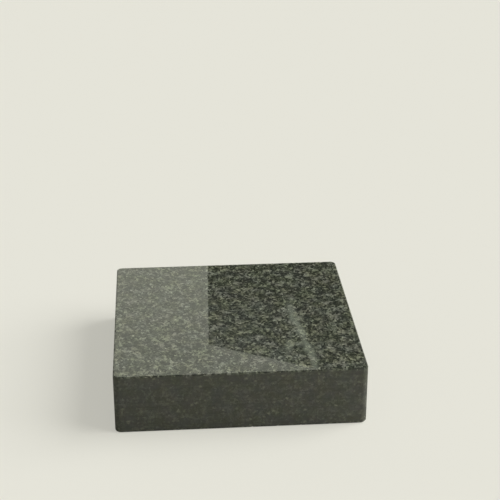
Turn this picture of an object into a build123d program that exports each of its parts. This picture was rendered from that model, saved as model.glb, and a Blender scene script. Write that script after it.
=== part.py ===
from build123d import *
import os

# Granite skirting block: a short length of skirting sawn from slab, one solid piece of stone.
# It lies on its sawn back with the polished face up. The origin is the middle of the back,
# X runs along the wall, Y runs up the wall, and Z runs from the back to the polished face.

# Driving dimensions, in millimetres
LENGTH = 100.0  # along the wall, from sawn end to sawn end
HEIGHT = 100.0  # up the wall, from foot edge to top edge
THICKNESS = 25.0  # from the sawn back to the polished face
CORNER_ROUND = 2.5  # radius rubbed on the four corner edges that cross the thickness
FACE_ARRIS = 0.5  # radius rubbed round the rim of the polished face
BACK_ARRIS = 0.8  # radius rubbed round the rim of the sawn back


def ease_rim(block, face, radius):
    """The block with the whole rim of one flat face rubbed to a radius."""
    return block.fillet(radius, face.edges())


def skirting_block():
    """A slab of the skirting's height and length, with its corners and both rims eased."""
    outline = RectangleRounded(LENGTH, HEIGHT, CORNER_ROUND)
    block = extrude(outline, THICKNESS).solid()
    block = ease_rim(block, block.faces().sort_by(Axis.Z).last, FACE_ARRIS)
    return ease_rim(block, block.faces().sort_by(Axis.Z).first, BACK_ARRIS)


os.makedirs("parts", exist_ok=True)
export_step(skirting_block(), "parts/skirting_block.step")
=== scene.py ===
import bpy
import numpy as np
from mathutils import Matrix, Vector


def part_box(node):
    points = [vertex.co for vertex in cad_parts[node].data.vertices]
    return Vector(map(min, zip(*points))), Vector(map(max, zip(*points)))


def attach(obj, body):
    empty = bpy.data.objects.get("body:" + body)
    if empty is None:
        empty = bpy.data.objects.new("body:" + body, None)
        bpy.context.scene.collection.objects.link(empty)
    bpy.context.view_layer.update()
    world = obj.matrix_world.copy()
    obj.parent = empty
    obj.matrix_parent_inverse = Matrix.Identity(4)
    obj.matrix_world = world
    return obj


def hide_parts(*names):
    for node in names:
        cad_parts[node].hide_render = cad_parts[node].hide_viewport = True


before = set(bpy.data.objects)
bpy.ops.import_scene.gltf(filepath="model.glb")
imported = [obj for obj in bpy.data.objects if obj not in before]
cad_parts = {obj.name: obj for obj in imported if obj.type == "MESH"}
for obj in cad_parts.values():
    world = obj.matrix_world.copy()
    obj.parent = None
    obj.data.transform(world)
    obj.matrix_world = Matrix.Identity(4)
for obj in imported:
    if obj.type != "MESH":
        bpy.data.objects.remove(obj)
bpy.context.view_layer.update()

# The block, in metres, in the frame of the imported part
MM = 0.001
NODE = "skirting_block"
node_low, node_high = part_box(NODE)
LENGTH = node_high.x - node_low.x
HEIGHT = node_high.y - node_low.y
THICKNESS = node_high.z - node_low.z
CORNER_ROUND = 2.5 * MM  # radius of the four corner edges that cross the thickness
FACE_ARRIS = 0.5 * MM  # radius round the rim of the polished face
BACK_ARRIS = 0.8 * MM  # radius round the rim of the sawn back
FLAT_MARGIN = 1.1 * MM  # strip of flat stone inside each arris that chips can reach
CORNER_SIGNS = ((-1, -1), (1, -1), (1, 1), (-1, 1))  # of x and y, counter-clockwise seen from above

# How finely the surface is divided
RUN_STEPS = 297  # points along each straight run of the rim
TURN_STEPS = 12  # points along half of each rounded corner
SIDE_STEPS = RUN_STEPS + 2 * TURN_STEPS - 1
MARGIN_ROWS = 8  # rows across the flat strip beside the face arris
FACE_ARRIS_ROWS = 9
EDGE_ROWS = 40
BACK_ARRIS_ROWS = 8
BACK_MARGIN_ROWS = 5
CAP_SCALES = (0.985, 0.95, 0.89, 0.78, 0.58, 0.30)  # rings that thin out towards the middle of a flat
STRIP_CROWDING = 1.6  # power that draws the rows of a flat strip towards its arris
EDGE_CROWDING = 0.13  # how far the rows of an edge are drawn towards both its ends
SHARP_ANGLE = 28.0  # degrees between faces from which an edge shows sharp

# Wear and saw marks
SEED = 7
SAW_DEPTH = 0.03 * MM  # the most that the saw left the edges hollow
SAW_WAVES = 7
SAW_PITCH = (2.2 * MM, 7 * MM)  # shortest and longest wave across an edge
SAW_DRIFT = 3  # the most waves that one shifts by on its way round the block
FACE_CHIPS = 130
FACE_CHIP_DEPTH = (0.22 * MM, 0.40 * MM)  # measured from the sharp edge that the arris eases
FACE_CHIP_REACH = (0.3 * MM, 1.3 * MM)
BACK_CHIPS = 60
BACK_CHIP_DEPTH = (0.34 * MM, 0.50 * MM)
BACK_CHIP_REACH = (0.4 * MM, 1.6 * MM)
CHIP_VARIETY = (0.6, 1.4)  # how much shorter or longer a chip is than its size asks
CHIP_TILT = 0.35  # radians that a break may lean from halfway between its two faces
KNOCK_TOWARDS = (1, -1, -1)  # the knocked corner: right end, foot edge, back
KNOCK_DEPTH = 1.22 * MM  # measured from the sharp corner
KNOCK_SOFT = 0.5 * MM  # how far before and behind the break its rim is rounded
BROKEN_FROM = 0.02 * MM  # stone lost before a spot counts as broken

# Names of the finishes, in the order of the block's material slots
POLISHED, RUBBED, SAWN_EDGE, SAWN_BACK = range(4)


def rim_path():
    """The rounded rectangle round the block: a core point and an outward unit vector for each step.

    The outline is the core point plus the corner radius times the outward vector. The core point walks
    round the rectangle that is left when the corner radius comes off every side, and it waits at each
    corner while the outward vector turns through a quarter circle. Each side starts in the middle of a turn.
    """
    half = np.array([LENGTH / 2 - CORNER_ROUND, HEIGHT / 2 - CORNER_ROUND])
    corners = half * np.array(CORNER_SIGNS)
    turning = np.arange(TURN_STEPS) / TURN_STEPS
    share = np.concatenate([np.zeros(TURN_STEPS), np.linspace(0, 1, RUN_STEPS), np.ones(TURN_STEPS - 1)])
    lean = np.concatenate([turning - 1, np.zeros(RUN_STEPS), turning[1:]]) * np.pi / 4
    facing = (np.arange(4) - 1) * np.pi / 2
    angle = (facing[:, None] + lean).ravel()
    following = np.roll(corners, -1, axis=0)
    core = corners[:, None, :] + share[:, None] * (following - corners)[:, None, :]
    outward = np.column_stack([np.cos(angle), np.sin(angle)])
    return core.reshape(-1, 2), outward


def rim_section():
    """The section through the rim, from the polished face to the sawn back: inset and height of each row.

    It is a flat strip with rows that crowd towards the arris, a quarter circle, a straight edge with rows
    that crowd towards both ends, a quarter circle, and a flat strip again.
    """
    strip = FLAT_MARGIN * np.linspace(1, 0, MARGIN_ROWS, endpoint=False) ** STRIP_CROWDING
    over = np.linspace(np.pi / 2, 0, FACE_ARRIS_ROWS)
    even = np.linspace(0, 1, EDGE_ROWS)[1:-1]
    down = even - EDGE_CROWDING * np.sin(2 * np.pi * even)
    under = np.linspace(0, np.pi / 2, BACK_ARRIS_ROWS)
    back_strip = FLAT_MARGIN * np.linspace(0, 1, BACK_MARGIN_ROWS + 1)[1:] ** STRIP_CROWDING
    edge_top = THICKNESS - FACE_ARRIS
    inset = np.concatenate([
        FACE_ARRIS + strip,
        FACE_ARRIS * (1 - np.cos(over)),
        np.zeros(down.size),
        BACK_ARRIS * (1 - np.cos(under)),
        BACK_ARRIS + back_strip,
    ])
    height = np.concatenate([
        np.full(strip.size, THICKNESS),
        THICKNESS - FACE_ARRIS * (1 - np.sin(over)),
        edge_top + (BACK_ARRIS - edge_top) * down,
        BACK_ARRIS * (1 - np.sin(under)),
        np.zeros(back_strip.size),
    ])
    finish = np.repeat(
        [POLISHED, RUBBED, SAWN_EDGE, RUBBED, SAWN_BACK],
        [strip.size, FACE_ARRIS_ROWS - 1, down.size + 1, BACK_ARRIS_ROWS - 1, back_strip.size],
    )
    return inset, height, finish


def chips(random, along, around, count, depth, reach):
    """Stone lost along an arris: depth and tilt of the break at each step.

    Each chip is a parabola over its own reach. Small chips are many and large ones few, because the size
    is the cube of an even draw. Where chips meet, the deepest one counts.
    """
    middle = random.uniform(0, around, count)
    size = random.uniform(0, 1, count) ** 3
    deepest = depth[0] + (depth[1] - depth[0]) * size
    half_length = reach[0] + (reach[1] - reach[0]) * size * random.uniform(*CHIP_VARIETY, count)
    tilt = np.pi / 4 + random.uniform(-CHIP_TILT, CHIP_TILT, count)
    gap = np.abs(along[:, None] - middle)
    gap = np.minimum(gap, around - gap)
    scoop = deepest * (1 - (gap / half_length) ** 2)
    winner = scoop.argmax(axis=1)
    return np.maximum(scoop.max(axis=1), 0), tilt[winner]


def planed(inset, drop, depth, tilt):
    """Points near an arris pushed back to the plane of the break, and how far each one went.

    A point's distance from the sharp edge, across the break, is its inset times the cosine of the tilt
    plus its drop times the sine. What is nearer than the break's depth moves straight in by the rest.
    """
    lost = np.maximum(depth - inset * np.cos(tilt) - drop * np.sin(tilt), 0)
    return inset + lost * np.cos(tilt), drop + lost * np.sin(tilt), lost


def knocked(places):
    """Points near one corner of the block pushed back to the plane of its break, and how far each one went.

    The break is square to the line through the corner. A point's excess is how far it reaches along that
    line beyond the sharp corner less the depth. It moves straight back by its excess, and near the rim of
    the break by the square of the excess and the softness together, over four times the softness.
    """
    towards = np.array(KNOCK_TOWARDS) / np.sqrt(3)
    corner = np.where(np.array(KNOCK_TOWARDS) > 0, node_high, node_low)
    excess = places @ towards - corner @ towards + KNOCK_DEPTH
    rim = np.clip(excess + KNOCK_SOFT, 0, 2 * KNOCK_SOFT) ** 2 / (4 * KNOCK_SOFT)
    lost = np.maximum(rim, excess)
    return places - lost[..., None] * towards, lost


def saw_hollows(random, along, height, around):
    """How far the saw left the edges hollow, never proud.

    It is the mean of several sine waves across the edge, each of which shifts by whole waves round the block.
    """
    pitch = random.uniform(*SAW_PITCH, SAW_WAVES)
    drift = random.integers(-SAW_DRIFT, SAW_DRIFT + 1, SAW_WAVES)
    phase = random.uniform(0, 2 * np.pi, SAW_WAVES)
    turns = height[:, None, None] / pitch + drift * along[:, None] / around
    wave = np.sin(2 * np.pi * turns + phase).mean(axis=2)
    return SAW_DEPTH * (wave + 1) / 2


def rim_surface():
    """The whole rim as a grid of rows by steps.

    Returns the places, the distance of each step along the rim, the finish of each row, the stone lost at
    each place, and how far each step is turned into a corner, from 0 on a straight run to 1 in its middle.
    """
    random = np.random.default_rng(SEED)
    core, outward = rim_path()
    outline = core + CORNER_ROUND * outward
    stride = np.linalg.norm(np.roll(outline, -1, axis=0) - outline, axis=1)
    around = stride.sum()
    along = np.concatenate([[0], stride.cumsum()[:-1]])
    row_inset, row_height, finish = rim_section()

    on_edge = (row_height < THICKNESS - FACE_ARRIS) & (row_height > BACK_ARRIS)
    inset = row_inset[:, None] + on_edge[:, None] * saw_hollows(random, along, row_height, around)
    height = np.repeat(row_height[:, None], along.size, axis=1)

    face_depth, face_tilt = chips(random, along, around, FACE_CHIPS, FACE_CHIP_DEPTH, FACE_CHIP_REACH)
    inset, drop, face_lost = planed(inset, THICKNESS - height, face_depth, face_tilt)
    height = THICKNESS - drop
    back_depth, back_tilt = chips(random, along, around, BACK_CHIPS, BACK_CHIP_DEPTH, BACK_CHIP_REACH)
    inset, height, back_lost = planed(inset, height, back_depth, back_tilt)

    flat = core + (CORNER_ROUND - inset)[:, :, None] * outward
    places, knock_lost = knocked(np.concatenate([flat, height[:, :, None]], axis=2))
    lost = np.maximum(np.maximum(face_lost, back_lost), knock_lost)
    turned = 1 - np.abs(outward).max(axis=1)
    return places, along, finish, lost, turned / turned.max()


def grid_faces(rows, steps):
    """Quads between neighbouring rows of a closed grid, facing outwards, row by row."""
    here = np.arange(steps)
    beside = (here + 1) % steps
    above = np.arange(rows - 1)[:, None] * steps
    quads = np.stack([above + here, above + here + steps, above + beside + steps, above + beside], axis=2)
    return quads.reshape(-1, 4)


def cap(ring, ring_first, first):
    """A flat inside a ring: rings of half as many points each time, scaled towards the middle, and a fan.

    Between a ring and the next one, every second point of the outer ring has a partner inside, and three
    triangles fill the gap between two partners. Returns the new places and triangles, counter-clockwise.
    """
    centre = ring.mean(axis=0)
    places = []
    triangles = []
    outer = np.arange(ring.shape[0]) + ring_first
    thinned = ring
    for scale in CAP_SCALES:
        thinned = thinned[::2]
        places.append(centre + (thinned - centre) * scale)
        inner = np.arange(thinned.shape[0]) + first
        first += thinned.shape[0]
        even = outer[::2]
        odd = outer[1::2]
        following = np.roll(even, -1)
        inner_following = np.roll(inner, -1)
        triangles += [
            np.column_stack([even, odd, inner]),
            np.column_stack([odd, following, inner_following]),
            np.column_stack([inner, odd, inner_following]),
        ]
        outer = inner
    places.append(centre[None, :])
    triangles.append(np.column_stack([outer, np.roll(outer, -1), np.full(outer.size, first)]))
    return np.vstack(places), np.vstack(triangles)


# Where the surface lies on its flat map, whose sides are 1 long
MAP_EDGE = 0.005
MAP_GAP = 0.01
MAP_FACE = 0.64  # side of the polished face's square
MAP_STRIP = 0.165  # width of the strip for one edge
MAP_BACK = 0.335  # side of the back's square


def flat_map(places, along, row_finish, quads, flats):
    """The map of every face corner: the face as a square, the edges as strips beside it, the back smaller.

    A flat's place on the map is its x and y, scaled and moved. On an edge, one direction is the distance
    along the rim since the side began, and the other one the distance across the rows.
    """
    steps = places.shape[1]
    vertices = np.vstack([places.reshape(-1, 3), *[flat_places for flat_places, _ in flats]])
    strip_first = MAP_EDGE + MAP_FACE + MAP_GAP
    share = (vertices[:, :2] - (-LENGTH / 2, -HEIGHT / 2)) / (LENGTH, HEIGHT)
    on_face = MAP_EDGE + MAP_FACE * share
    on_back = strip_first + MAP_BACK * share

    section = np.linalg.norm(np.diff(places[:, SIDE_STEPS // 2], axis=0), axis=1)
    on_rim = (row_finish != POLISHED) & (row_finish != SAWN_BACK)
    across = np.concatenate([[0], (section * on_rim).cumsum()])
    across = across / across[-1] * MAP_STRIP
    side = np.arange(steps) // SIDE_STEPS
    side_length = np.append(along, along[-1] + along[1])[SIDE_STEPS::SIDE_STEPS] - along[::SIDE_STEPS]
    begin = along[::SIDE_STEPS][side]
    near = (along - begin) / side_length[side] * MAP_FACE + MAP_EDGE
    far = np.append(near[1:], 0)
    far[SIDE_STEPS - 1::SIDE_STEPS] = MAP_EDGE + MAP_FACE

    row, step = np.divmod(np.arange(quads.shape[0]), steps)
    corner_along = np.stack([near[step], near[step], far[step], far[step]], axis=1)
    corner_across = np.stack([across[row], across[row + 1], across[row + 1], across[row]], axis=1)
    corner_across += strip_first + (side[step] // 2 * (MAP_STRIP + MAP_GAP))[:, None]
    level = (side[step] % 2 == 0)[:, None]
    strips = np.stack([
        np.where(level, corner_along, corner_across),
        np.where(level, corner_across, corner_along),
    ], axis=2)
    finish = row_finish[row][:, None, None]
    of_quads = np.where(finish == SAWN_BACK, on_back[quads], strips)
    of_quads = np.where(finish == POLISHED, on_face[quads], of_quads)
    corners = [of_quads.reshape(-1, 2)]
    corners += [flat[triangles].reshape(-1, 2) for flat, (_, triangles) in zip((on_face, on_back), flats)]
    return np.vstack(corners)


def build_block():
    """The block as one closed mesh: the rim grid, a cap on the polished face and a cap on the sawn back."""
    places, along, row_finish, lost, turned = rim_surface()
    rows, steps = lost.shape
    grid = places.reshape(-1, 3)
    quads = grid_faces(rows, steps)
    face_places, face_triangles = cap(places[0], 0, grid.shape[0])
    back_first = grid.shape[0] + face_places.shape[0]
    back_places, back_triangles = cap(places[-1], (rows - 1) * steps, back_first)
    back_triangles = back_triangles[:, ::-1]
    flats = ((face_places, face_triangles), (back_places, back_triangles))

    vertices = np.vstack([grid, face_places, back_places])
    faces = quads.tolist() + face_triangles.tolist() + back_triangles.tolist()
    mesh = bpy.data.meshes.new("granite_block")
    mesh.from_pydata(vertices.tolist(), [], faces)
    corners = flat_map(places, along, row_finish, quads, flats)
    mesh.uv_layers.new(name="OFBake").uv.foreach_set("vector", corners.astype(np.float32).ravel())

    broken = np.zeros(vertices.shape[0])
    broken[: grid.shape[0]] = (lost.ravel() > BROKEN_FROM)
    mesh.attributes.new("broken", "FLOAT", "POINT").data.foreach_set("value", broken)
    rubbed = np.zeros(vertices.shape[0])
    rubbed[: grid.shape[0]] = np.tile(turned, rows)
    mesh.attributes.new("rubbed", "FLOAT", "POINT").data.foreach_set("value", rubbed)
    finish = np.repeat(row_finish, steps)
    finish[broken[quads].max(axis=1) > 0] = RUBBED
    finish = np.concatenate([
        finish,
        np.full(face_triangles.shape[0], POLISHED),
        np.full(back_triangles.shape[0], SAWN_BACK),
    ])
    mesh.polygons.foreach_set("material_index", finish.astype(np.int32))
    mesh.polygons.foreach_set("use_smooth", np.ones(len(faces), dtype=bool))
    mesh.set_sharp_from_angle(angle=np.radians(SHARP_ANGLE))
    mesh.update()
    block = bpy.data.objects.new("granite_block", mesh)
    bpy.context.collection.objects.link(block)
    return block


def feed(tree, socket, value):
    """Gives an input a fixed value, or a link when the value is another node's output."""
    if isinstance(value, bpy.types.NodeSocket):
        tree.links.new(value, socket)
    else:
        socket.default_value = value


def put(tree, kind, inputs, **settings):
    """Adds a node with its settings, and feeds each input, by name or place, with a value or an output."""
    made = tree.nodes.new(kind)
    for name, value in settings.items():
        setattr(made, name, value)
    for name, value in inputs.items():
        feed(tree, made.inputs[name], value)
    return made


def maths(tree, operation, first, second):
    """A number worked out from two numbers."""
    return put(tree, "ShaderNodeMath", {0: first, 1: second}, operation=operation).outputs[0]


def vectors(tree, operation, first, second):
    """A vector worked out from two vectors."""
    return put(tree, "ShaderNodeVectorMath", {0: first, 1: second}, operation=operation).outputs[0]


NOISE_RANGE = (0.3, 0.7)  # where most of a noise lies
NOISE_MIDDLE = 0.5


def noise(tree, place, scale, detail, output="Fac"):
    """Smooth noise from 0 to 1, or three of them as a colour."""
    names = {"Vector": place, "Scale": scale, "Detail": detail}
    return put(tree, "ShaderNodeTexNoise", names).outputs[output]


def blended(tree, share, first, second, blend_type="MIX"):
    """A colour between two colours, or with MULTIPLY their product."""
    made = put(tree, "ShaderNodeMix", {}, data_type="RGBA", blend_type=blend_type)
    for socket, value in ((made.inputs[0], share), (made.inputs[6], first), (made.inputs[7], second)):
        feed(tree, socket, value)
    return made.outputs[2]


def spread(tree, value, low, high, new_low, new_high):
    """A value moved from one range to another, held within it."""
    names = {"Value": value, "From Min": low, "From Max": high, "To Min": new_low, "To Max": new_high}
    return put(tree, "ShaderNodeMapRange", names).outputs[0]


def from_noise(tree, value, new_low, new_high):
    """Noise moved from its usual range to another one."""
    return spread(tree, value, *NOISE_RANGE, new_low, new_high)


def channels(tree, colour):
    """The three numbers that a colour holds."""
    return put(tree, "ShaderNodeSeparateColor", {"Color": colour}).outputs


def ramp(tree, value, stops):
    """A colour looked up in a list of places and colours."""
    made = put(tree, "ShaderNodeValToRGB", {"Fac": value})
    elements = made.color_ramp.elements
    elements[0].position, elements[0].color = stops[0][0], (*stops[0][1], 1)
    elements[1].position, elements[1].color = stops[-1][0], (*stops[-1][1], 1)
    for place, colour in stops[1:-1]:
        elements.new(place).color = (*colour, 1)
    return made.outputs["Color"]


def new_group(name, inputs, outputs):
    """A shader node group with named inputs, each with a default value, and named outputs."""
    tree = bpy.data.node_groups.new(name, "ShaderNodeTree")
    for label, kind, value in inputs:
        tree.interface.new_socket(label, in_out="INPUT", socket_type=kind).default_value = value
    for label, kind in outputs:
        tree.interface.new_socket(label, in_out="OUTPUT", socket_type=kind)
    return tree, tree.nodes.new("NodeGroupInput").outputs, tree.nodes.new("NodeGroupOutput").inputs


# Colours of the stone, linear
SAWN_STONE = (0.0570, 0.0584, 0.0474)
MINERALS = (  # from the darkest crystals to the palest
    (0.00, (0.0290, 0.0324, 0.0240)),
    (0.30, (0.0444, 0.0492, 0.0362)),
    (0.55, (0.0724, 0.0786, 0.0578)),
    (0.75, (0.1187, 0.1264, 0.0932)),
    (1.00, (0.2046, 0.2152, 0.1600)),
)
PALE_FLECK = (0.148, 0.153, 0.108, 1)
OLIVE_TINT = (1.000, 1.009, 0.920, 1)
GREY_TINT = (1.000, 0.991, 1.062, 1)
GREEN_TINT = (0.977, 1.006, 1.000, 1)
WARM_TINT = (1.023, 0.994, 1.000, 1)

# The grain, as a solid pattern. A noise is given by its scale, in waves for each crystal, and its detail
GRAIN_SCALE = (1 / MM, 0.82 / MM, 1 / MM)  # crystals for each metre; they lie a little drawn out along +Y
WANDER_NOISE = (0.8, 2.0)
WANDER_REACH = 1.1  # crystals by which the noise bends their outlines
CLUSTER_SCALE = 0.34
FULL_TURN = 6.283  # radians
LATH_SHAPE = (0.76, 0.97, 1.08)  # crystals for each unit in a cluster's own three directions
CRYSTAL_BLUR = 0.08
TONE_RANGE = (0.85, 1.15)  # darkest and brightest crystal of one mineral
SPECK_SCALE = 1.8
DARK_SPECKS = (0.84, 0.88, 1.0, 0.60)  # draws between which a speck comes in, and its tone before and after
BRIGHT_SPECKS = (0.92, 0.95, 1.0, 1.60)
PATCH_NOISE = (0.28, 2.0)
PATCH_SWAY = 0.30  # how far a patch shifts its crystals towards dark or pale minerals
CLOUD_NOISE = (1.9, 4.0)
CLOUD_SWAY = 0.14
HUE_NOISE = (0.17, 2.0)
HUE_RANGE = (0.36, 0.64)  # part of the noise that takes the hue from one tint to the other
HUE_DRAW = 0.05  # how far a crystal's own draw shifts its hue
FLECK_STRETCH = (0.56, 0.68, 0.78)  # flecks for each crystal, before the rare ones are drawn
FLECK_BEND = 0.5
FLECK_RAGGED = 0.20  # how far clouds move the outline of a fleck
FLECK_CORE, FLECK_RIM = 0.05, 0.52  # distances from its middle between which a fleck fades
FLECK_RARE = (0.76, 0.98)  # draws between which a fleck comes in


def granite_group():
    """The body of the stone: crystals of several minerals about a millimetre across, as a solid pattern.

    Color is the grain, blended into the body colour by the contrast. Pale is a mask of rare flecks, and
    Relief is a fine cloud.
    """
    tree, given, out = new_group(
        "granite_grain",
        [("Contrast", "NodeSocketFloat", 1.0), ("Body", "NodeSocketColor", (*SAWN_STONE, 1))],
        [("Color", "NodeSocketColor"), ("Pale", "NodeSocketFloat"), ("Relief", "NodeSocketFloat")],
    )
    place = put(tree, "ShaderNodeTexCoord", {}).outputs["Object"]
    place = vectors(tree, "MULTIPLY", place, GRAIN_SCALE)
    wander = vectors(tree, "SUBTRACT", noise(tree, place, *WANDER_NOISE, "Color"), (NOISE_MIDDLE,) * 3)
    bent = vectors(tree, "ADD", place, vectors(tree, "MULTIPLY", wander, (WANDER_REACH,) * 3))

    # Clusters of laths that share a direction, and specks
    cluster = put(tree, "ShaderNodeTexVoronoi", {"Vector": bent, "Scale": CLUSTER_SCALE})
    turn = vectors(tree, "MULTIPLY", cluster.outputs["Color"], (FULL_TURN,) * 3)
    names = {"Vector": bent, "Center": (0.0, 0.0, 0.0), "Rotation": turn}
    turned = put(tree, "ShaderNodeVectorRotate", names, rotation_type="EULER_XYZ").outputs[0]
    lath = vectors(tree, "MULTIPLY", turned, LATH_SHAPE)
    names = {"Vector": lath, "Scale": 1.0, "Smoothness": CRYSTAL_BLUR}
    crystal = put(tree, "ShaderNodeTexVoronoi", names, feature="SMOOTH_F1")
    draw = channels(tree, crystal.outputs["Color"])
    speck = put(tree, "ShaderNodeTexVoronoi", {"Vector": bent, "Scale": SPECK_SCALE})
    speck_draw = channels(tree, speck.outputs["Color"])

    # The mineral of each crystal, and its tone
    patch = noise(tree, place, *PATCH_NOISE)
    cloud = noise(tree, place, *CLOUD_NOISE)
    kind = maths(tree, "ADD", draw[0], from_noise(tree, patch, -PATCH_SWAY, PATCH_SWAY))
    kind = maths(tree, "ADD", kind, from_noise(tree, cloud, -CLOUD_SWAY, CLOUD_SWAY))
    tone = spread(tree, draw[1], 0.0, 1.0, *TONE_RANGE)
    tone = maths(tree, "MULTIPLY", tone, spread(tree, speck_draw[0], *DARK_SPECKS))
    tone = maths(tree, "MULTIPLY", tone, spread(tree, speck_draw[1], *BRIGHT_SPECKS))
    colour = blended(tree, 1.0, ramp(tree, kind, MINERALS), tone, "MULTIPLY")
    colour = blended(tree, given["Contrast"], given["Body"], colour)

    # Two slow drifts of hue
    drift = channels(tree, noise(tree, place, *HUE_NOISE, "Color"))
    hue = maths(tree, "ADD", drift[0], spread(tree, draw[2], 0.0, 1.0, -HUE_DRAW, HUE_DRAW))
    tint = blended(tree, spread(tree, hue, *HUE_RANGE, 0.0, 1.0), GREY_TINT, OLIVE_TINT)
    warmth = blended(tree, spread(tree, drift[1], *HUE_RANGE, 0.0, 1.0), GREEN_TINT, WARM_TINT)
    tint = blended(tree, 1.0, tint, warmth, "MULTIPLY")
    tree.links.new(blended(tree, 1.0, colour, tint, "MULTIPLY"), out["Color"])

    # Rare flecks with ragged outlines
    level = vectors(tree, "MULTIPLY", place, FLECK_STRETCH)
    level = vectors(tree, "ADD", level, vectors(tree, "MULTIPLY", wander, (FLECK_BEND,) * 3))
    fleck = put(tree, "ShaderNodeTexVoronoi", {"Vector": level, "Scale": 1.0})
    ragged = from_noise(tree, cloud, -FLECK_RAGGED, FLECK_RAGGED)
    ragged = maths(tree, "ADD", fleck.outputs["Distance"], ragged)
    middle = spread(tree, ragged, FLECK_CORE, FLECK_RIM, 1.0, 0.0)
    rare = spread(tree, channels(tree, fleck.outputs["Color"])[0], *FLECK_RARE, 0.0, 1.0)
    tree.links.new(maths(tree, "MULTIPLY", middle, rare), out["Pale"])
    tree.links.new(cloud, out["Relief"])
    return tree


def new_material(name):
    """A material, its node tree and the inputs of its shader."""
    material = bpy.data.materials.new(name)
    material.use_nodes = True
    return material, material.node_tree, material.node_tree.nodes["Principled BSDF"].inputs


def use_group(tree, group, name, value):
    """Adds a node group with one of its inputs fed, and returns its outputs."""
    made = tree.nodes.new("ShaderNodeGroup")
    made.node_tree = group
    feed(tree, made.inputs[name], value)
    return made.outputs


# Finishes. The scale of a noise here is in waves for each metre, on the stretched place for the lines
SAWN_CONTRAST = 0.16  # share of the grain that shows on stone left from the saw
RUBBED_CONTRAST = 0.26  # share of it that shows where a corner was rubbed
FLECK_SHARE = 0.80  # how far a fleck covers sawn stone
ALONG_CUT, ACROSS_CUT = 30.0, 1100.0  # waves of the saw's lines for each metre, along the cut and across it
LINE_NOISE = (1.0, 3.0)
LINE_SHADE = (0.92, 1.08)
GRIT_NOISE = (2.6 / MM, 2.0)
GRIT_SHADE = (0.87, 1.13)
GRIT_HEIGHT = 0.4  # of the grit's bumps, next to the lines
SAWN_BUMP, SAWN_BUMP_HEIGHT = 0.5, 0.15 * MM
SAWN_ROUGHNESS = (0.5, 0.62)
SAWN_IOR = 1.3
POLISHED_ROUGHNESS = (0.012, 0.006)  # of the stone and of its flecks
POLISHED_IOR = 1.475
COAT_SHADES = (0.03, 0.20)  # darkest and palest crystals
COAT_WEIGHTS = (0.27, 0.0)  # how much more each of them mirrors
COAT_ROUGHNESS = 0.01
# Painted shade: how much darker the eased arrises are drawn, except where a chip broke off
PAINTED_ARRIS_SHADE = (0.68, 0.68, 0.68, 1)
RUBBED_ROUGHNESS = (0.35, 0.7)  # of an eased arris and of broken stone
RUBBED_IOR = 1.45


def sawn_group():
    """Stone as the saw left it: the grain shows faintly, with pale flecks, grit and fine lines along the cut.

    The grain shows more where a corner was rubbed round.
    """
    tree, given, out = new_group(
        "sawn_stone",
        [("Stretch", "NodeSocketVector", (1.0, 1.0, 1.0))],
        [("Color", "NodeSocketColor"), ("Roughness", "NodeSocketFloat"), ("Height", "NodeSocketFloat")],
    )
    rubbed = put(tree, "ShaderNodeAttribute", {}, attribute_name="rubbed").outputs["Fac"]
    contrast = spread(tree, rubbed, 0.0, 1.0, SAWN_CONTRAST, RUBBED_CONTRAST)
    stone = use_group(tree, GRANITE, "Contrast", contrast)
    fleck = maths(tree, "MULTIPLY", stone["Pale"], FLECK_SHARE)
    flecked = blended(tree, fleck, stone["Color"], PALE_FLECK)
    place = put(tree, "ShaderNodeTexCoord", {}).outputs["Object"]
    line = noise(tree, vectors(tree, "MULTIPLY", place, given["Stretch"]), *LINE_NOISE)
    grit = noise(tree, place, *GRIT_NOISE)
    shade = from_noise(tree, line, *LINE_SHADE)
    shade = maths(tree, "MULTIPLY", shade, from_noise(tree, grit, *GRIT_SHADE))
    tree.links.new(blended(tree, 1.0, flecked, shade, "MULTIPLY"), out["Color"])
    tree.links.new(from_noise(tree, stone["Relief"], *SAWN_ROUGHNESS), out["Roughness"])
    tree.links.new(maths(tree, "ADD", line, maths(tree, "MULTIPLY", grit, GRIT_HEIGHT)), out["Height"])
    return tree


def polished_granite():
    """The polished face, whose dark crystals mirror a little more than its pale ones."""
    material, tree, shader = new_material("polished_granite")
    stone = use_group(tree, GRANITE, "Contrast", 1.0)
    tree.links.new(stone["Color"], shader["Base Color"])
    tree.links.new(spread(tree, stone["Pale"], 0.0, 1.0, *POLISHED_ROUGHNESS), shader["Roughness"])
    shade = put(tree, "ShaderNodeRGBToBW", {"Color": stone["Color"]}).outputs[0]
    tree.links.new(spread(tree, shade, *COAT_SHADES, *COAT_WEIGHTS), shader["Coat Weight"])
    shader["Coat Roughness"].default_value = COAT_ROUGHNESS
    shader["IOR"].default_value = POLISHED_IOR
    return material


def rubbed_granite():
    """Stone of the eased arrises, darkened by painted shade, and clean and rough where a chip broke off."""
    material, tree, shader = new_material("rubbed_granite")
    stone = use_group(tree, GRANITE, "Contrast", 1.0)
    broken = put(tree, "ShaderNodeAttribute", {}, attribute_name="broken").outputs["Fac"]
    # Painted shade darkens the arris; broken stone keeps the grain's own colour
    shaded_arris = blended(tree, 1.0, stone["Color"], PAINTED_ARRIS_SHADE, "MULTIPLY")
    tree.links.new(blended(tree, broken, shaded_arris, stone["Color"]), shader["Base Color"])
    tree.links.new(spread(tree, broken, 0.0, 1.0, *RUBBED_ROUGHNESS), shader["Roughness"])
    shader["IOR"].default_value = RUBBED_IOR
    return material


def sawn_granite(name, stretch):
    """Sawn stone whose place is stretched so that the saw's lines run along the cut."""
    material, tree, shader = new_material(name)
    stone = use_group(tree, SAWN, "Stretch", stretch)
    tree.links.new(stone["Color"], shader["Base Color"])
    tree.links.new(stone["Roughness"], shader["Roughness"])
    shader["IOR"].default_value = SAWN_IOR
    names = {"Height": stone["Height"], "Strength": SAWN_BUMP, "Distance": SAWN_BUMP_HEIGHT}
    tree.links.new(put(tree, "ShaderNodeBump", names).outputs[0], shader["Normal"])
    return material


GRANITE = granite_group()
SAWN = sawn_group()

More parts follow.
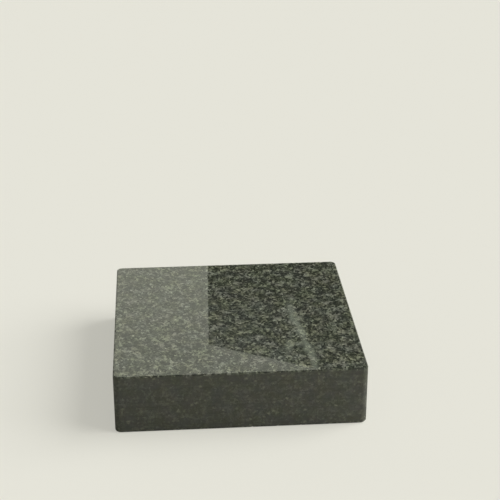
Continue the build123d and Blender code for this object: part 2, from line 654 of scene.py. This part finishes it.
block = build_block()
block.data.materials.append(polished_granite())
block.data.materials.append(rubbed_granite())
block.data.materials.append(sawn_granite("sawn_edge_granite", (ALONG_CUT, ALONG_CUT, ACROSS_CUT)))
block.data.materials.append(sawn_granite("sawn_back_granite", (ALONG_CUT, ACROSS_CUT, ACROSS_CUT)))
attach(block, "root")
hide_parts(NODE)

# The stage, in metres: a pale floor, and a card out of the picture that glows with a painted reflection of a
# dark block behind the stone, seen only in the polished face
FLOOR_COLOUR = (0.80, 0.79, 0.71, 1)
FLOOR_GLOW = 0.55  # share of the floor's look that shadows don't reach
FLOOR_ROUGHNESS = 0.9
FLOOR_SHINE = 0.1
FLOOR_REACH = 4.0
FLOOR_DROP = 0.05 * MM
CARD_DISTANCE = 0.70
CARD_LEFT, CARD_RIGHT = 0.0170, 0.36
CARD_BOTTOM, CARD_TOP_LEFT, CARD_TOP_RIGHT = 0.20, 0.4198, 0.5222
# Colours that the card glows with, as a painted reflection of a dark block behind the stone
CARD_DARK = (0.008, 0.009, 0.008, 1)
CARD_PALE = (0.19, 0.205, 0.185, 1)
CARD_PALE_FROM, CARD_PALE_TO = 0.34, 0.46  # heights between which the paint grows paler
# Painted glints: the streak and the spot are painted reflections of light in the card's paint
PAINTED_GLINT_COLOUR = (0.79, 0.875, 0.685, 1)
STREAK_FOOT = (0.1017, 0.3806)  # x and z on the card where the streak starts
STREAK_START = (-0.012, 0.004)  # heights from its foot between which it comes in
STREAK_LEAN = 0.420  # metres to the right for each metre up
STREAK_CORE, STREAK_EDGE = 0.0013, 0.0057  # distances from its middle between which it fades
WOBBLE_NOISE = (90.0, 3.0)
WOBBLE_REACH = 0.003  # how far the streak wanders to either side
SPOT_MIDDLE = (0.1007, 0.0, 0.4244)
SPOT_STRETCH = (1 / 0.0052, 0.0, 1 / 0.0075)  # one over half its width, and over half its height
SPOT_WOBBLE = 100.0  # how much of the wobble its outline takes
SPOT_CORE, SPOT_EDGE = 0.45, 1.2
SPOT_SHARE = 0.85


def stage_sheet(name, corners, material):
    """A flat sheet that is no part of the object."""
    mesh = bpy.data.meshes.new(name)
    mesh.from_pydata(corners, [], [tuple(range(len(corners)))])
    mesh.materials.append(material)
    sheet = bpy.data.objects.new(name, mesh)
    bpy.context.collection.objects.link(sheet)
    return sheet


def floor_paper():
    """Matte pale paper that shows a share of its colour to the camera in the shade too."""
    material, tree, shader = new_material("floor")
    shader["Base Color"].default_value = FLOOR_COLOUR
    shader["Roughness"].default_value = FLOOR_ROUGHNESS
    shader["Specular IOR Level"].default_value = FLOOR_SHINE
    seen = put(tree, "ShaderNodeLightPath", {}).outputs["Is Camera Ray"]
    share = maths(tree, "MULTIPLY", seen, FLOOR_GLOW)
    matte = tree.nodes["Principled BSDF"].outputs[0]
    light = put(tree, "ShaderNodeEmission", {"Color": FLOOR_COLOUR}).outputs[0]
    both = put(tree, "ShaderNodeMixShader", {0: share, 1: matte, 2: light})
    tree.links.new(both.outputs[0], tree.nodes["Material Output"].inputs["Surface"])
    return material


def painted_reflection_material():
    """Painted reflection of a dark block: glowing dark paint, paler towards its top left, with a soft pale
    streak that leans right and a pale spot.
    """
    material, tree, _ = new_material("painted_reflection_card")
    place = put(tree, "ShaderNodeTexCoord", {}).outputs["Object"]
    part = put(tree, "ShaderNodeSeparateXYZ", {"Vector": place}).outputs
    share = spread(tree, part["Z"], CARD_PALE_FROM, CARD_PALE_TO, 0.0, 1.0)
    share = maths(tree, "MULTIPLY", share, spread(tree, part["X"], CARD_LEFT, CARD_RIGHT, 1.0, -1.0))
    paint = blended(tree, share, CARD_DARK, CARD_PALE)

    # A painted glint: a pale streak and a pale spot, painted reflections of light
    wobble = from_noise(tree, noise(tree, place, *WOBBLE_NOISE), -WOBBLE_REACH, WOBBLE_REACH)
    rise = maths(tree, "SUBTRACT", part["Z"], STREAK_FOOT[1])
    middle = maths(tree, "ADD", maths(tree, "MULTIPLY", rise, STREAK_LEAN), STREAK_FOOT[0])
    aside = maths(tree, "SUBTRACT", part["X"], maths(tree, "ADD", middle, wobble))
    aside = maths(tree, "MAXIMUM", aside, maths(tree, "MULTIPLY", aside, -1.0))
    streak = spread(tree, aside, STREAK_CORE, STREAK_EDGE, 1.0, 0.0)
    streak = maths(tree, "MULTIPLY", streak, spread(tree, rise, *STREAK_START, 0.0, 1.0))
    paint = blended(tree, streak, paint, PAINTED_GLINT_COLOUR)

    offset = vectors(tree, "MULTIPLY", vectors(tree, "SUBTRACT", place, SPOT_MIDDLE), SPOT_STRETCH)
    reach = put(tree, "ShaderNodeVectorMath", {0: offset}, operation="LENGTH").outputs["Value"]
    reach = maths(tree, "ADD", reach, maths(tree, "MULTIPLY", wobble, SPOT_WOBBLE))
    spot = spread(tree, reach, SPOT_CORE, SPOT_EDGE, SPOT_SHARE, 0.0)
    paint = blended(tree, spot, paint, PAINTED_GLINT_COLOUR)
    # The paint glows, though the card is no lamp: it is a painted reflection
    light = put(tree, "ShaderNodeEmission", {"Color": paint}).outputs[0]
    tree.links.new(light, tree.nodes["Material Output"].inputs["Surface"])
    return material


floor_corners = [(x * FLOOR_REACH, y * FLOOR_REACH, -FLOOR_DROP) for x, y in CORNER_SIGNS]
stage_sheet("floor", floor_corners, floor_paper())
card_outline = (
    (CARD_LEFT, CARD_BOTTOM),
    (CARD_RIGHT, CARD_BOTTOM),
    (CARD_RIGHT, CARD_TOP_RIGHT),
    (CARD_LEFT, CARD_TOP_LEFT),
)
card = stage_sheet("painted_reflection_card", [(x, CARD_DISTANCE, z) for x, z in card_outline], painted_reflection_material())
# The card is seen only in the polish, where it shows as a painted reflection
card.visible_camera = False
card.visible_diffuse = False
card.visible_shadow = False

# Light: a broad soft lamp to the right, a small lamp in front for the block alone, and a pale room, which
# looks brightest in the polish on its far side
KEY_FROM = (0.85, 0.02, 0.62)
KEY_STRENGTH = 3.80
KEY_WIDTH = 55.0  # degrees across
FILL_FROM = (0.20, -0.15, 0.05)
FILL_STRENGTH = 0.16
FILL_WIDTH = 0.10
ROOM_LIGHT = (0.25, 0.25, 0.24, 1)
ROOM_SEEN = (0.80, 0.80, 0.735, 1)
ROOM_MIRRORED = (  # what the polish mirrors, by how far a direction points up
    (0.42, (0.93, 0.95, 0.80)),
    (0.52, (0.81, 0.83, 0.70)),
    (0.80, (0.20, 0.20, 0.19)),
)
ROOM_FAR = (0.25, 0.80)  # how far a direction points along +Y where the far side begins, and where it is full
ROOM_ASIDE = 0.5  # how bright the rest of the room is in the polish, next to its far side


def hang_lamp(name, kind, strength, side):
    """A lamp that shines from one side on the middle of the block, and that the polish doesn't mirror."""
    lamp = bpy.data.objects.new(name, bpy.data.lights.new(name, kind))
    lamp.data.energy = strength
    lamp.rotation_mode = "QUATERNION"
    lamp.rotation_quaternion = Vector(side).to_track_quat("Z", "Y")
    lamp.visible_glossy = False
    bpy.context.collection.objects.link(lamp)
    return lamp


key = hang_lamp("key", "SUN", KEY_STRENGTH, KEY_FROM)
key.data.angle = np.radians(KEY_WIDTH)
fill = hang_lamp("fill", "AREA", FILL_STRENGTH, FILL_FROM)
fill.data.size = FILL_WIDTH
fill.location = FILL_FROM
fill.visible_camera = False
fill.light_linking.receiver_collection = bpy.data.collections.new("lit_by_fill")
fill.light_linking.receiver_collection.objects.link(block)

world = bpy.data.worlds.new("room")
world.use_nodes = True
bpy.context.scene.world = world
room = world.node_tree
path = put(room, "ShaderNodeLightPath", {}).outputs
direction = put(room, "ShaderNodeTexCoord", {}).outputs["Generated"]
heading = put(room, "ShaderNodeSeparateXYZ", {"Vector": direction}).outputs
depth = spread(room, heading["Y"], *ROOM_FAR, ROOM_ASIDE, 1.0)
mirrored = blended(room, 1.0, ramp(room, heading["Z"], ROOM_MIRRORED), depth, "MULTIPLY")
seen = blended(room, path["Is Glossy Ray"], ROOM_LIGHT, mirrored)
seen = blended(room, path["Is Camera Ray"], seen, ROOM_SEEN)
room.links.new(seen, room.nodes["Background"].inputs["Color"])

# Camera, placed by the point on the floor that it looks at
CAMERA_AIM = Vector((0.01618, 0.1205, 0.0))
CAMERA_DISTANCE = 0.6675
CAMERA_AZIMUTH = 4.344  # degrees that it looks to the right of +Y
CAMERA_DOWN = 24.347  # degrees that it looks down
CAMERA_LENS = 92.9  # millimetres
CAMERA_SENSOR = 36.0  # millimetres across
CAMERA_NEAR = 0.01

azimuth, down = np.radians(CAMERA_AZIMUTH), np.radians(CAMERA_DOWN)
looking = Vector((np.sin(azimuth) * np.cos(down), np.cos(azimuth) * np.cos(down), -np.sin(down)))
camera_data = bpy.data.cameras.new("camera")
camera_data.lens = CAMERA_LENS
camera_data.sensor_width = CAMERA_SENSOR
camera_data.clip_start = CAMERA_NEAR
camera = bpy.data.objects.new("camera", camera_data)
camera.location = CAMERA_AIM - looking * CAMERA_DISTANCE
camera.rotation_mode = "QUATERNION"
camera.rotation_quaternion = looking.to_track_quat("-Z", "Y")
bpy.context.collection.objects.link(camera)
bpy.context.scene.camera = camera
bpy.context.scene.view_settings.view_transform = "Standard"
